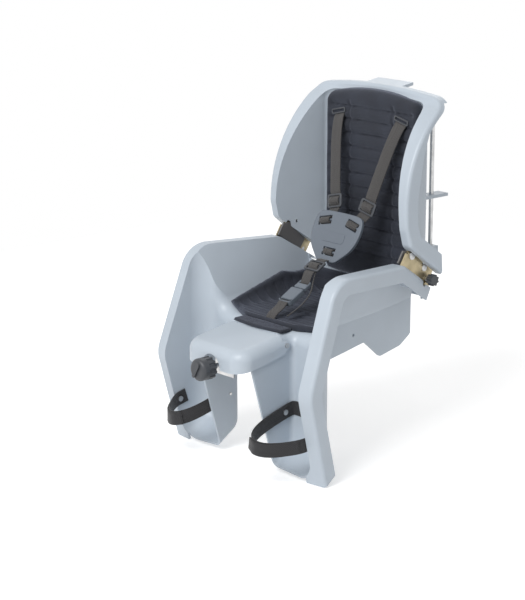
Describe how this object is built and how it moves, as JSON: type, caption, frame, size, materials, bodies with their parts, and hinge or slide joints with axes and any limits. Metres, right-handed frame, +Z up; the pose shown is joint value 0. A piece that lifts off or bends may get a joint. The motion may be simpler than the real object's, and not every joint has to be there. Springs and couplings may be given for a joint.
{
  "type": "child bicycle seat",
  "caption": "Rear child seat for a bicycle carrier: moulded shell with leg wells and reclining back, quilted pads, harness, foot straps and a knob clamp.",
  "frame": {"origin": "middle of the steel foot plate's underside, where the seat stands on the carrier", "axes": "+Z up, the child faces -Y, +X to the child's left"},
  "size_m": [0.3692, 0.444, 0.582],
  "materials": {
    "shell_grey": "satin moulded",
    "zinc_gold": "yellow zinc plated",
    "steel": "bright zinc plated",
    "dark_plastic": "satin moulded",
    "pad_fabric": "quilted woven cloth",
    "webbing": "woven webbing",
    "foot_webbing": "woven webbing",
    "strap_plastic": "satin moulded"
  },
  "bodies": {
    "seat": {"seat_shell": "shell_grey", "nose_cover": "shell_grey", "nose_screws": "steel", "mount_plate": "steel", "mount_screws": "steel", "clamp_bracket": "steel", "clamp_screws": "steel", "hinge_seat_leaf_left": "zinc_gold", "hinge_seat_leaf_right": "zinc_gold", "hinge_guard_left": "dark_plastic", "hinge_guard_right": "dark_plastic", "hinge_pins": "steel", "guide_pins": "steel", "seat_leaf_rivets": "steel", "seat_pad": "pad_fabric", "pad_flap": "pad_fabric", "link_strap": "webbing", "strap_adjuster": "strap_plastic", "buckle_male": "strap_plastic", "buckle_female": "strap_plastic", "crotch_strap": "webbing", "crotch_anchor_bar": "steel", "foot_strap_left": "foot_webbing", "foot_strap_right": "foot_webbing", "foot_strap_rivets": "steel"},
    "back": {"back_shell": "shell_grey", "back_rod": "steel", "back_pad": "pad_fabric", "hinge_back_leaf_left": "zinc_gold", "hinge_back_leaf_right": "zinc_gold", "back_leaf_rivets": "steel", "recline_studs": "steel", "shoulder_strap_left": "webbing", "shoulder_strap_right": "webbing", "shoulder_anchor_bars": "steel", "strap_slider_left": "strap_plastic", "strap_slider_right": "strap_plastic", "chest_plate": "strap_plastic"},
    "left_knob": {"recline_knob_left": "dark_plastic"},
    "right_knob": {"recline_knob_right": "dark_plastic"},
    "clamp_screw": {"clamp_knob": "dark_plastic", "clamp_stud": "steel"},
    "jaw": {"clamp_jaw": "steel"}
  },
  "joints": [
    {"name": "back_recline", "type": "hinge", "parent": "seat", "child": "back", "pos_m": [0, 0.068, 0.1625], "axis": [-1, 0, 0], "range_deg": [0, 8]},
    {"name": "left_knob_turn", "type": "hinge", "parent": "back", "child": "left_knob", "pos_m": [0.16, 0.103, 0.1195], "axis": [1, 0, 0], "range_deg": [0, 360]},
    {"name": "right_knob_turn", "type": "hinge", "parent": "back", "child": "right_knob", "pos_m": [-0.16, 0.103, 0.1195], "axis": [-1, 0, 0], "range_deg": [0, 360]},
    {"name": "clamp_knob_turn", "type": "hinge", "parent": "seat", "child": "clamp_screw", "pos_m": [0, -0.24, 0.004], "axis": [0, 1, 0], "range_deg": [0, 1440]},
    {"name": "jaw_slide", "type": "slide", "parent": "seat", "child": "jaw", "axis": [0, -1, 0], "range_m": [0, 0.0051]}
  ],
  "couplings": [
    {"joint": "jaw_slide", "follows": "clamp_knob_turn", "m_per_rad": 0.00019894}
  ]
}
